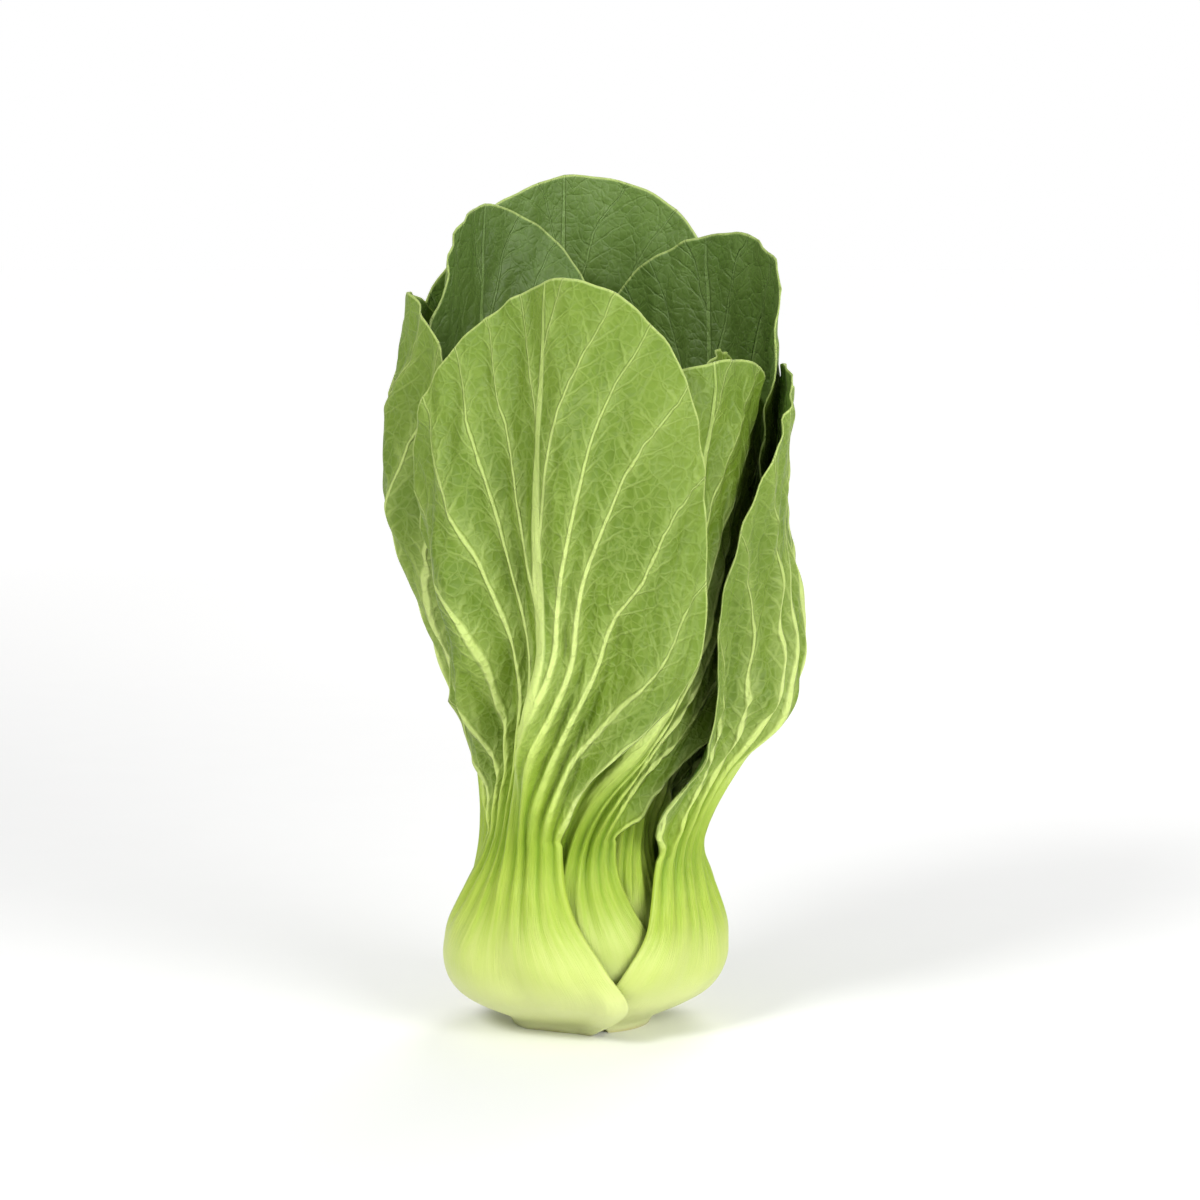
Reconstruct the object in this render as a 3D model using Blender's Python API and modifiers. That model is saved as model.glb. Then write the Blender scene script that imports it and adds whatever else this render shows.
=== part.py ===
"""A head of bok choy, standing upright on its cut base.

Metres, +Z up, the origin at the middle of the cut base and the front towards -Y. The leaves grow in a
spiral round a short stem, the first one outermost. Each leaf is one solid: a thick stalk that clasps the
stem, thinning at the neck into a ribbed and waved blade.

A place on a leaf is an angle round the head's axis, a height, and a distance from the axis, which is first
taken as a share of the head's own radius at that height. The leaves are laid from the heart outwards, and
each is moved out as far as it takes to clear the ones inside it, so that none cuts through another.
"""

import math

import bpy
import numpy as np

MM = 0.001

# The whole head: its radius at each height, from the cut base over the bulb and the neck to the blades
HEAD_OUTLINE_MM = [(0, 14.5), (3.5, 21.5), (9, 27.2), (16, 30.4), (22, 31), (32, 30), (44, 28),
                   (56, 28.4), (80, 33.5), (110, 40), (145, 44), (175, 43.5), (205, 40)]

# The stem that the leaves grow from: a low cone with a flat cut face, as radius and height
STEM_PROFILE_MM = [(0, 27), (2.6, 23), (5.4, 15), (8.2, 8), (10.6, 3), (13, 0.8), (13, 0), (0, 0)]
STEM_STEPS = 36

# The spiral of leaves
GOLDEN_ANGLE = 137.5
FIRST_LEAF_ANGLE = -44
STEM_RISE = 1.9 * MM       # each leaf inside the outer ring grows from this much higher up the stem
OUTER_RING = 3             # these leaves reach down to the cut face
LAYER_STEP = 0.062         # each leaf inside it lies this much nearer the axis, as a share of the radius
LEAF_GAP = 0.55 * MM       # the least air between two leaves, or a leaf and the stem

# One row for each leaf, outermost first: degrees off the even spiral, height, degrees that the blade
# leans round the head, half the blade's width, how far the blade spreads (1 follows the outline), and how
# far its tip bends out, as a share of the head's radius
LEAVES = [
    (0, 177, 28, 41, 0.90, -0.10),
    (0, 200, 9, 57, 1.07, -0.05),
    (27, 160, 21, 36, 1.14, -0.08),
    (-6, 172, 6, 40, 0.92, 0.02),
    (-13, 188, 15, 48, 1.00, -0.08),
    (-2, 160, 54, 39, 1.07, -0.13),
    (4, 192, 6, 43, 1.12, 0.0),
    (-36, 163, 30, 34, 1.20, -0.06),
    (-4, 150, 12, 32, 1.06, -0.16),
    (2, 140, -8, 29, 1.20, 0.05),
    (8, 116, 10, 24, 1.06, -0.10),
]

# Stalk: half the angle that it clasps at shares of its length, and its thickness as a share of the
# head's radius, from its foot over the bulb to the neck
STALK_SHARE = 0.265
STALK_CLASP = [(0, 47), (0.08, 57), (0.17, 61), (0.38, 52), (0.65, 37), (0.9, 29), (1, 27)]
STALK_DEPTH = [(0, 0.07), (0.2, 0.165), (0.45, 0.2), (0.75, 0.165), (1, 0.13)]
STALK_EDGE = 1 * MM
FOOT_SPREAD = 9 * MM        # a stalk leaves the stem over this much height, fastest at its foot
FULLNESS = 2.2             # how squarely the stalk's section holds its thickness towards its edges
BEDDING = 0.7              # how far a stalk's edges draw in to what it clasps, 1 being all the way

# Blade
BLADE_THICKNESS = 0.8 * MM
BLADE_SWEEP = 130          # degrees round the blade's oval from its tip to where its margin meets the stalk
BLADE_CENTRE = 0.54        # the oval's middle, as a share of the blade's length
BLADE_NARROWING = 0.2      # how much narrower the blade is towards its stalk
VEIN_HUG = 2.3             # how long the side veins keep to the stalk's line before they turn outwards
SPREAD_RISE = 30 * MM      # a blade spreads over this much height above its neck
LEAN_RISE = 60 * MM        # a blade leans over this much height, from just below its neck
MOST_TURN = 1.4            # a blade never wraps further round the head than this many radians to a side
OPENNESS = 0.45            # how far the sides of a blade open away from the head, 1 being a flat blade
MARGIN_NOTCH = 0.04        # the margin's outline swells and draws in by this share of the blade
WAVE = 3.2 * MM            # waves of the blade towards its margin
WAVE_TURNS = 2.9
PUCKER = 1.5 * MM          # the blade is pushed in between its veins
RIB_HEIGHT = 1.2 * MM
MIDRIB_HEIGHT = 1.4 * MM

# Facets of the solids: rows along the stalk, rows along the blade, columns across
OUTER_FACETS = (9, 11, 16)
INNER_FACETS = (6, 8, 8)
LARGE_LEAVES = 8
FOOT_CROWDING = 1.35       # above 1, the rows of the stalk lie closer together towards its foot

# The grid of angles and heights that records how far out the head has grown, and how finely each facet
# is sampled onto it
ANGLE_CELLS = 360
CELL_HEIGHT = 0.8 * MM
HEIGHT_CELLS = 260
SAMPLES = 12
CLEARING_STEPS = 14
EVENING = 4

# Colours, as linear red, green and blue
STEM_COLOUR = (0.72, 0.76, 0.42, 1)
LEAF_COLOUR = (0.30, 0.44, 0.11, 1)


def smooth_curve(points, x):
    """A curve through the points (x, y), read at x. Its slope at each point follows its neighbours."""
    px, py = np.array(points, float).T
    slope = np.gradient(py, px)
    i = np.clip(np.searchsorted(px, x) - 1, 0, len(px) - 2)
    span = px[i + 1] - px[i]
    u = np.clip((x - px[i]) / span, 0, 1)
    start = (1 + 2 * u) * (1 - u) ** 2 * py[i] + u * (1 - u) ** 2 * span * slope[i]
    end = u * u * (3 - 2 * u) * py[i + 1] + u * u * (u - 1) * span * slope[i + 1]
    return start + end


def ease(x):
    """0 below 0 and 1 above 1, with a smooth step between."""
    x = np.clip(x, 0, 1)
    return x * x * (3 - 2 * x)


def head_radius(height):
    return smooth_curve(HEAD_OUTLINE_MM, height / MM) * MM


def stem_radius(height):
    radii, heights = np.array(STEM_PROFILE_MM[:-1], float).T
    return np.interp(height / MM, heights[::-1], radii[::-1]) * MM


def leaf_sizes(rank):
    """The sizes and places of the leaf of this rank, 0 being outermost."""
    turn, height, lean, half_width, spread, curl = LEAVES[rank]
    foot = max(0, rank + 1 - OUTER_RING) * STEM_RISE
    height = height * MM
    return {
        "rank": rank,
        "angle": math.radians(FIRST_LEAF_ANGLE - GOLDEN_ANGLE * rank + turn),
        "lean": math.radians(lean),
        "foot": foot,
        "neck": foot + (height - foot) * STALK_SHARE,
        "tip": height,
        "half_width": half_width * MM,
        "layer": 1 - LAYER_STEP * max(0, rank + 1 - OUTER_RING),
        "spread": spread,
        "curl": curl,
        "phase": 2.4 * rank,
    }


def wanted_layer(leaf, height):
    """Where the leaf's outer face would lie with no other leaf to push it: even over the stalk, then
    spreading with the blade, with the tip bent out or in."""
    above = height - leaf["neck"]
    spread = (leaf["spread"] - 1) * ease((above + 5 * MM) / SPREAD_RISE)
    bend = leaf["curl"] * np.clip(above / (leaf["tip"] - leaf["neck"]), 0, 1) ** 3
    return leaf["layer"] * (1 + spread + bend)


def leaf_grid(leaf, facets):
    """Where each grid point is: its turn from the leaf's middle, its height, and its shares of the way
    across the leaf, from -1 to 1, up the stalk, and from the neck over the blade to its margin. Columns run
    up the stalk side by side, and fan out over the blade as its veins do, to end on its margin."""
    stalk_rows, blade_rows, columns = facets
    across = np.linspace(-1, 1, columns + 1)
    foot, neck, tip = leaf["foot"], leaf["neck"], leaf["tip"]

    share = np.linspace(0, 1, stalk_rows + 1)[:-1, None] ** FOOT_CROWDING
    stalk_height = foot + (neck - foot) * share + 0 * across
    clasp = np.radians(smooth_curve(STALK_CLASP, share)) * across

    blade = np.linspace(0, 1, blade_rows + 1)[:, None] + 0 * across
    sweep = np.radians(BLADE_SWEEP) * across
    length = (tip - neck) * (1 + MARGIN_NOTCH * (np.sin(3 * sweep + leaf["phase"]) - 1) / 2)
    margin_x = leaf["half_width"] * np.sin(sweep)
    margin_x *= 1 - BLADE_NARROWING * ((1 - np.cos(sweep)) / 2) ** 1.5
    margin_y = length * (BLADE_CENTRE + (1 - BLADE_CENTRE) * np.cos(sweep))
    neck_half = math.radians(STALK_CLASP[-1][1]) * head_radius(neck) * wanted_layer(leaf, neck)
    x = neck_half * across + (margin_x - neck_half * across) * blade ** VEIN_HUG
    blade_height = neck + margin_y * blade
    reach = head_radius(blade_height) * wanted_layer(leaf, blade_height)

    height = np.vstack([stalk_height, blade_height])
    turn = np.vstack([clasp, MOST_TURN * np.tanh(x / reach / MOST_TURN)])
    stalk = np.vstack([share + 0 * across, 1 + 0 * blade])
    blade = np.vstack([0 * stalk_height, blade])
    return turn, height, across + 0 * height, stalk, blade


def leaf_angle(leaf, height):
    """The angle of the leaf's middle, which leans round the head as the leaf rises."""
    return leaf["angle"] + leaf["lean"] * ease((height - leaf["neck"] + 12 * MM) / LEAN_RISE)


def ribs(across, pitch):
    """1 along each rib and 0 midway between two."""
    return 0.5 + 0.5 * np.cos(2 * math.pi * across / pitch)


def leaf_thickness(height, across, stalk, blade, pitch):
    """Thickness measured straight out from the axis: a crescent over the stalk that dies away up the
    blade, with a midrib and side ribs standing on it."""
    crescent = 1 - np.abs(across) ** FULLNESS
    depth = smooth_curve(STALK_DEPTH, stalk) * head_radius(height)
    edge = np.minimum(STALK_EDGE, depth)
    stalk_part = edge + (depth - edge) * crescent
    body = BLADE_THICKNESS + (stalk_part - BLADE_THICKNESS) * (1 - blade) ** 2.4
    rib_share = ease((stalk - 0.3) / 0.7) * (1 - 0.85 * blade) * (1 - 0.5 * np.abs(across))
    midrib = np.exp(-(across / 0.1) ** 2) * ease((stalk - 0.5) / 0.5) * (1 - 0.9 * blade)
    return body + RIB_HEIGHT * rib_share * ribs(across, pitch) + MIDRIB_HEIGHT * midrib


def blade_relief(leaf, turn, across, blade, pitch):
    """How far the blade stands out from its wanted layer: its sides open, its margin waves, and it
    puckers between the veins."""
    opening = OPENNESS * turn ** 2 / 2 * head_radius(leaf["neck"]) * blade ** 1.5
    wave = WAVE * blade ** 2 * np.sin(math.pi * WAVE_TURNS * across + leaf["phase"])
    wave += 0.5 * WAVE * blade * np.sin(5 * blade + 3 * across - leaf["phase"])
    pucker = PUCKER * blade * (1 - np.abs(across)) * (ribs(across, pitch) - 1)
    return opening + wave + pucker


def neighbours(grid):
    """The values on each side of every place in a grid, up, down, left and right."""
    padded = np.pad(grid, 1, mode="edge")
    return padded[:-2, 1:-1], padded[2:, 1:-1], padded[1:-1, :-2], padded[1:-1, 2:]


def facet_shares(columns):
    """Places spread evenly over each column's facets, as shares of a facet's four corners. A facet is two
    triangles, split towards the midrib on both sides of it."""
    u, v = np.meshgrid(np.linspace(0, 1, SAMPLES), np.linspace(0, 1, SAMPLES))
    left = [1 - np.maximum(u, v), np.maximum(u - v, 0), np.minimum(u, v), np.maximum(v - u, 0)]
    mirrored = u[:, ::-1]
    right = [np.maximum(mirrored - v, 0), 1 - np.maximum(mirrored, v), np.maximum(v - mirrored, 0),
             np.minimum(mirrored, v)]
    sides = np.array([left] * (columns // 2) + [right] * (columns // 2))
    return sides.reshape(columns, 4, -1)


def facet_samples(radius, angle, height):
    """The facets' places of a face, as radius, angle and height."""
    points = np.stack([radius * np.sin(angle), -radius * np.cos(angle), height], -1)
    corners = np.array([points[:-1, :-1], points[:-1, 1:], points[1:, 1:], points[1:, :-1]])
    shares = facet_shares(radius.shape[1] - 1)
    x, y, z = np.moveaxis(np.einsum("jks,kijc->sijc", shares, corners), -1, 0)
    return np.hypot(x, y), np.arctan2(x, -y), z


def cell_of(angle, height):
    row = np.clip(np.rint(height / CELL_HEIGHT).astype(int), 0, HEIGHT_CELLS - 1)
    return row, np.rint(np.degrees(angle) * ANGLE_CELLS / 360).astype(int) % ANGLE_CELLS


def clear_of(front, inner, angle, height):
    """The leaf's inner face moved out, wherever it has to be, until all of its facets clear the front."""
    wrapped = np.hstack([front[:, -1:], front, front[:, :1]])
    cover = np.maximum.reduce([wrapped, *neighbours(wrapped)])[:, 1:-1]
    wanted, lift = inner, np.zeros_like(inner)
    shares = facet_shares(inner.shape[1] - 1)
    push = np.moveaxis(shares / (shares ** 2).sum(1, keepdims=True), 0, -1)[:, :, None, :]
    for step in range(CLEARING_STEPS):
        radius, around, up = facet_samples(wanted + lift, angle, height)
        short = np.maximum(cover[cell_of(around, up)] + LEAF_GAP - radius, 0)
        need = np.zeros_like(lift)
        spots = [need[:-1, :-1], need[:-1, 1:], need[1:, 1:], need[1:, :-1]]
        for spot, share in zip(spots, push):
            np.maximum(spot, (short * share).max(0), out=spot)
        lift = lift + need
        if step < EVENING:
            lift = np.maximum(lift, (4 * lift + sum(neighbours(lift))) / 8)
    return wanted + lift


def leaf_faces(leaf, facets, front):
    """The points of the leaf's inner and outer face, as angle, height and two radii."""
    turn, height, across, stalk, blade = leaf_grid(leaf, facets)
    angle = leaf_angle(leaf, height) + turn
    pitch = 4 / facets[2]
    thickness = leaf_thickness(height, across, stalk, blade, pitch)
    relief = blade_relief(leaf, turn, across, blade, pitch)
    middle = leaf_thickness(height, 0 * across, stalk, blade, pitch)
    bedded = BEDDING * middle + (1 - BEDDING) * thickness
    inner = head_radius(height) * wanted_layer(leaf, height) - bedded + relief
    grip = np.clip((height - leaf["foot"]) / FOOT_SPREAD, 0, 1)
    grip = grip * (2 - grip)
    inner = inner * grip + (stem_radius(height) + LEAF_GAP) * (1 - grip)
    inner = clear_of(front, inner, angle, height)
    return angle, height, inner, inner + thickness


def grow_front(front, outer, angle, height):
    """The front with a leaf's outer face laid over it."""
    radius, around, up = facet_samples(outer, angle, height)
    grown = front.copy()
    np.maximum.at(grown, cell_of(around, up), radius)
    return grown


def leaf_facets(leaf):
    return OUTER_FACETS if leaf["rank"] < LARGE_LEAVES else INNER_FACETS


def points_at(angle, height, radius):
    """Angles, heights and radii as x, y and z."""
    return np.stack([radius * np.sin(angle), -radius * np.cos(angle), height], -1).reshape(-1, 3)


def skin(rows, columns, first, outwards):
    """Triangles over a grid of points. Both faces of a leaf are split alike, so they never cross."""
    faces = []
    for i in range(rows):
        for j in range(columns):
            a = first + i * (columns + 1) + j
            b, c, d = a + 1, a + columns + 2, a + columns + 1
            pair = [(a, b, c), (a, c, d)] if j < columns // 2 else [(a, b, d), (b, c, d)]
            faces += pair if outwards else [face[::-1] for face in pair]
    return faces


def rim(rows, columns, count):
    """Triangles that close the edge between the inner face and the outer one, count points on."""
    step = columns + 1
    foot = [j for j in range(columns)]
    right = [i * step + columns for i in range(rows)]
    top = [rows * step + j for j in range(columns, 0, -1)]
    left = [i * step for i in range(rows, 0, -1)]
    loop = foot + right + top + left
    faces = []
    for a, b in zip(loop, loop[1:] + loop[:1]):
        faces += [(a, b, b + count), (a, b + count, a + count)]
    return faces


def material(name, colour, roughness):
    made = bpy.data.materials.new(name)
    made.use_nodes = True
    shader = made.node_tree.nodes["Principled BSDF"]
    shader.inputs["Base Color"].default_value = colour
    shader.inputs["Roughness"].default_value = roughness
    made.diffuse_color = colour
    return made


def make_leaf(leaf, front, collection, finish):
    """One leaf as a closed solid, a loft from the crescent of its foot to the thin edge of its blade. It
    returns the front that the next leaf has to clear."""
    facets = leaf_facets(leaf)
    rows, columns = facets[0] + facets[1], facets[2]
    angle, height, inner, outer = leaf_faces(leaf, facets, front)
    points = np.vstack([points_at(angle, height, inner), points_at(angle, height, outer)])
    count = (rows + 1) * (columns + 1)
    faces = skin(rows, columns, 0, False) + skin(rows, columns, count, True) + rim(rows, columns, count)
    name = f"leaf_{leaf['rank'] + 1:02d}"
    mesh = bpy.data.meshes.new(name)
    mesh.from_pydata(points.tolist(), [], faces)
    mesh.materials.append(finish)
    mesh.shade_smooth()
    mesh.set_sharp_from_angle(angle=math.radians(50))
    collection.objects.link(bpy.data.objects.new(name, mesh))
    return grow_front(front, outer, angle, height)


def make_stem(collection, finish):
    """The stem, its profile turned round the axis: down its cone, then in along the cut face."""
    profile = [(radius * MM, 0, height * MM) for radius, height in STEM_PROFILE_MM]
    mesh = bpy.data.meshes.new("stem")
    mesh.from_pydata(profile, [(i, i + 1) for i in range(len(profile) - 1)], [])
    mesh.materials.append(finish)
    stem = bpy.data.objects.new("stem", mesh)
    collection.objects.link(stem)
    turned = stem.modifiers.new("turned", "SCREW")
    turned.steps = turned.render_steps = STEM_STEPS
    turned.use_merge_vertices = True
    turned.merge_threshold = 0.00001
    turned.use_smooth_shade = True


def main():
    for obj in list(bpy.data.objects):
        bpy.data.objects.remove(obj)
    collection = bpy.data.collections.new("bok_choy")
    bpy.context.scene.collection.children.link(collection)

    make_stem(collection, material("stem", STEM_COLOUR, 0.55))
    leaf_finish = material("leaf", LEAF_COLOUR, 0.45)

    heights = np.arange(HEIGHT_CELLS)[:, None] * CELL_HEIGHT
    front = np.where(heights <= STEM_PROFILE_MM[0][1] * MM, stem_radius(heights), 0) + np.zeros(ANGLE_CELLS)
    for rank in reversed(range(len(LEAVES))):
        front = make_leaf(leaf_sizes(rank), front, collection, leaf_finish)


main()
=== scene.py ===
# A head of bok choy standing on its cut base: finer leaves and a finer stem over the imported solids,
# with leaf, stalk and cut-stem finishes, soft studio light and a camera at the front.
import math
import bpy
import numpy as np
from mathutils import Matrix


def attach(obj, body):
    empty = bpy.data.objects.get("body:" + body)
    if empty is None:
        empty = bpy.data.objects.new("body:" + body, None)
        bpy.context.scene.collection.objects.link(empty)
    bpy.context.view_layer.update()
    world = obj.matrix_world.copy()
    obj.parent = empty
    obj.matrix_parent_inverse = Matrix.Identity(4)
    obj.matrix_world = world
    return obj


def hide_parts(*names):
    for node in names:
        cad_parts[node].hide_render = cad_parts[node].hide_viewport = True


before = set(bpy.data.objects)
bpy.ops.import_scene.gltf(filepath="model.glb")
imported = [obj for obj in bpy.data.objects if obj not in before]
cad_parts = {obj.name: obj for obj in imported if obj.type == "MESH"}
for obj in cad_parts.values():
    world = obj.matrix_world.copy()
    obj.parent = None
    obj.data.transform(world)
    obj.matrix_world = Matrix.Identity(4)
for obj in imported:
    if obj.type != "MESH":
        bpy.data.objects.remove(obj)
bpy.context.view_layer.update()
mm = 0.001
print("frame loaded:", len(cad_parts), "nodes")


# The head's form, from the same values as the solids

headShape = {
    "outline": [(0, 14.5), (3.5, 21.5), (9, 27.2), (16, 30.4), (22, 31), (32, 30), (44, 28),
                (56, 28.4), (80, 33.5), (110, 40), (145, 44), (175, 43.5), (205, 40)],    # height, radius
    "goldenAngle": 137.5,      # degrees from each leaf to the next one in
    "firstAngle": -44,         # of the outermost leaf, from the front
    "outerRing": 3,            # leaves that reach down to the cut face
    "layerStep": 0.062,        # how much nearer the axis each leaf inside the ring lies
    "gap": 0.55 * mm,          # the least air between two leaves of the solids
}

stalkShape = {
    "share": 0.265,            # of the leaf's height
    "rise": 1.9 * mm,          # how much higher up the stem each inner leaf starts
    "clasp": [(0, 47), (0.08, 57), (0.17, 61), (0.38, 52), (0.65, 37), (0.9, 29), (1, 27)],  # degrees
    "depth": [(0, 0.07), (0.2, 0.165), (0.45, 0.2), (0.75, 0.165), (1, 0.13)],   # of the head's radius
    "edge": 1 * mm,
    "footSpread": 9 * mm,      # the rise over which a foot leaves the stem
    "fullness": 2.2,
    "bedding": 0.7,            # how much of its thickest part lies inwards
    "crowding": 1.35,          # how much closer the rows are at the foot
}

bladeShape = {
    "thickness": 0.8 * mm,
    "sweep": 130,              # degrees round the blade's oval from its tip to the stalk
    "centre": 0.54,            # of the way from the neck to the tip
    "narrowing": 0.2,          # towards the stalk
    "veinHug": 2.3,            # how long the columns keep to the midrib
    "spreadRise": 30 * mm,     # over which the blade spreads, and leans
    "leanRise": 60 * mm,
    "mostTurn": 1.4,           # radians to a side
    "openness": 0.45,          # how far the sides stand off the head's round
    "notch": 0.04,
    "wave": 3.2 * mm,
    "waveTurns": 2.9,
    "pucker": 1.5 * mm,        # drawn in between the side ribs
    "ribHeight": 1.2 * mm,
    "midribHeight": 1.4 * mm,
}

# What the finer leaves have beyond the solids
fineShape = {
    "fan": 2.5,                # how many more side veins have left the midrib by the tip, and how late
    "fanPower": 1.5,
    "veinHeight": 1.05 * mm,   # of a side vein where the blade begins
    "veinWidth": 1.2,          # there, in mm
    "leastVein": 0.35,         # and at the margin
    "midribWidth": 2.8,        # the same for the midrib
    "leastMidrib": 0.45,
    "groove": 1.2 * mm,        # between the ribs at the top of the stalk
    "leastStalk": 0.55 * mm,   # the thickness that a groove leaves
    "frill": 6 * mm,           # how far a blade's low side reaches further round the head
    "frilledSides": {"leaf_03": -1, "leaf_05": -1, "leaf_06": 1},
    "frillElsewhere": 0.2,     # as a share of the frill
    "valley": 1.7 * mm,        # the blade's hollows between the lower veins
    "ruffle": 1.1 * mm,        # small waves of the margin
    "nick": 0.24 * mm,         # the margin's own unevenness
    "blister": 0.3 * mm,       # soft swellings between the veins
    "thinnest": 0.45,          # the blade's thickness at its margin, as a share of the solids'
    "rim": 0.4,                # how far the margin is rounded out, as a share of its thickness
    "gap": 0.22 * mm,          # the least air between two finer leaves
}

# One row for each leaf, outermost first: degrees off the even spiral, height, lean round the head in
# degrees, half the blade's width, spread, and how far the tip bends out
leafTable = [
    (0, 177, 28, 41, 0.90, -0.10),
    (0, 200, 9, 57, 1.07, -0.05),
    (27, 160, 21, 36, 1.14, -0.08),
    (-6, 172, 6, 40, 0.92, 0.02),
    (-13, 188, 15, 48, 1.00, -0.08),
    (-2, 160, 54, 39, 1.07, -0.13),
    (4, 192, 6, 43, 1.12, 0.0),
    (-36, 163, 30, 34, 1.20, -0.06),
    (-4, 150, 12, 32, 1.06, -0.16),
    (2, 140, -8, 29, 1.20, 0.05),
    (8, 116, 10, 24, 1.06, -0.10),
]

# How finely the leaves are worked out: rows up the stalk, rows over the blade, columns across
facets = {
    "large": (9, 11, 16),      # as in the solids
    "small": (6, 8, 8),
    "largeFine": (62, 148, 120),
    "smallFine": (44, 92, 68),
    "largeLeaves": 8,
}

# The grid of angles and heights that records how far out the head has grown
clearing = {
    "turns": 360,
    "cell": 0.8 * mm,
    "rows": 260,
    "samples": 12,             # places each way on a facet
    "steps": 14,
    "evening": 4,              # of the steps, at first
    "fineEvening": 12,
}


def smoothCurve(points, x):
    # A curve through the points: on each stretch, the cubic that has the points' heights and slopes
    px, py = np.array(points, float).T
    slope = np.gradient(py, px)
    i = np.clip(np.searchsorted(px, x) - 1, 0, len(px) - 2)
    span = px[i + 1] - px[i]
    u = np.clip((x - px[i]) / span, 0, 1)
    start = (1 + 2 * u) * (1 - u) ** 2 * py[i] + u * (1 - u) ** 2 * span * slope[i]
    end = u * u * (3 - 2 * u) * py[i + 1] + u * u * (u - 1) * span * slope[i + 1]
    return start + end


def ease(x):
    # 0 below 0, 1 above 1, and three x squared less two x cubed between
    x = np.clip(x, 0, 1)
    return x * x * (3 - 2 * x)


def headRadius(height):
    # The outline's radius at a height
    return smoothCurve(headShape["outline"], height / mm) * mm


def leafSizes(rank):
    # One row of the table as named values, in metres and radians
    turn, height, lean, halfWidth, spread, curl = leafTable[rank]
    inside = max(0, rank + 1 - headShape["outerRing"])
    foot = inside * stalkShape["rise"]
    large = rank < facets["largeLeaves"]
    return {
        "name": "leaf_%02d" % (rank + 1),
        "coarse": facets["large" if large else "small"],
        "fine": facets["largeFine" if large else "smallFine"],
        "pitch": 0.25 if large else 0.5,          # from rib to rib, as a share of half the leaf
        "angle": math.radians(headShape["firstAngle"] - headShape["goldenAngle"] * rank + turn),
        "lean": math.radians(lean),
        "foot": foot,
        "neck": foot + (height * mm - foot) * stalkShape["share"],
        "tip": height * mm,
        "halfWidth": halfWidth * mm,
        "layer": 1 - headShape["layerStep"] * inside,
        "spread": spread,
        "curl": curl,
        "phase": 2.4 * rank,
    }


def wantedLayer(leaf, height):
    # The leaf's distance from the axis over the head's radius: even up the stalk, then rising with the
    # blade's spread, plus the tip's bend times the cube of the way up the blade
    above = height - leaf["neck"]
    spread = (leaf["spread"] - 1) * ease((above + 5 * mm) / bladeShape["spreadRise"])
    bend = leaf["curl"] * np.clip(above / (leaf["tip"] - leaf["neck"]), 0, 1) ** 3
    return leaf["layer"] * (1 + spread + bend)


def leafGrid(leaf, stalkRows, bladeRows, columns):
    # Two parameters: across, from -1 to 1, and the way up. On the stalk a point turns by its clasp times
    # across. On the blade it goes from the neck to the margin, an oval narrowed towards the stalk, and
    # sideways it follows the power veinHug of the way, so the columns fan out as veins do
    across = np.linspace(-1, 1, columns + 1)
    foot, neck, tip = leaf["foot"], leaf["neck"], leaf["tip"]
    share = np.linspace(0, 1, stalkRows + 1)[:-1, None] ** stalkShape["crowding"]
    stalkHeight = foot + (neck - foot) * share + 0 * across
    clasp = np.radians(smoothCurve(stalkShape["clasp"], share)) * across

    blade = np.linspace(0, 1, bladeRows + 1)[:, None] + 0 * across
    sweep = np.radians(bladeShape["sweep"]) * across
    swell = 1 + bladeShape["notch"] * (np.sin(3 * sweep + leaf["phase"]) - 1) / 2
    marginX = leaf["halfWidth"] * np.sin(sweep)
    marginX = marginX * (1 - bladeShape["narrowing"] * ((1 - np.cos(sweep)) / 2) ** 1.5)
    centre = bladeShape["centre"]
    marginY = (tip - neck) * swell * (centre + (1 - centre) * np.cos(sweep))
    neckHalf = math.radians(stalkShape["clasp"][-1][1]) * headRadius(neck) * wantedLayer(leaf, neck)
    x = neckHalf * across + (marginX - neckHalf * across) * blade ** bladeShape["veinHug"]
    bladeHeight = neck + marginY * blade
    reach = headRadius(bladeHeight) * wantedLayer(leaf, bladeHeight)

    height = np.vstack([stalkHeight, bladeHeight])
    most = bladeShape["mostTurn"]
    turn = np.vstack([clasp, most * np.tanh(x / reach / most)])
    stalk = np.vstack([share + 0 * across, 1 + 0 * blade])
    blade = np.vstack([0 * stalkHeight, blade])
    return turn, height, across + 0 * height, stalk, blade


def leafAngle(leaf, height):
    # The leaf's own direction round the head, plus its lean, which comes in above the neck
    return leaf["angle"] + leaf["lean"] * ease((height - leaf["neck"] + 12 * mm) / bladeShape["leanRise"])


def ribs(across, pitch):
    # Half of one plus the cosine: 1 along each rib and 0 midway between two
    return 0.5 + 0.5 * np.cos(2 * math.pi * across / pitch)


def broadRibs(leaf, across, stalk, blade):
    # The solids' side ribs and midrib, which rise up the stalk and die away up the blade
    ribShare = ease((stalk - 0.3) / 0.7) * (1 - 0.85 * blade) * (1 - 0.5 * np.abs(across))
    midrib = np.exp(-(across / 0.1) ** 2) * ease((stalk - 0.5) / 0.5) * (1 - 0.9 * blade)
    side = bladeShape["ribHeight"] * ribShare * ribs(across, leaf["pitch"])
    return side + bladeShape["midribHeight"] * midrib


def leafThickness(leaf, height, across, stalk, blade):
    # A crescent over the stalk, its depth a share of the head's radius, that dies away up the blade by a
    # power of the way left, with the broad ribs standing on it
    crescent = 1 - np.abs(across) ** stalkShape["fullness"]
    depth = smoothCurve(stalkShape["depth"], stalk) * headRadius(height)
    edge = np.minimum(stalkShape["edge"], depth)
    stalkPart = edge + (depth - edge) * crescent
    body = bladeShape["thickness"] + (stalkPart - bladeShape["thickness"]) * (1 - blade) ** 2.4
    return body + broadRibs(leaf, across, stalk, blade)


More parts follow.
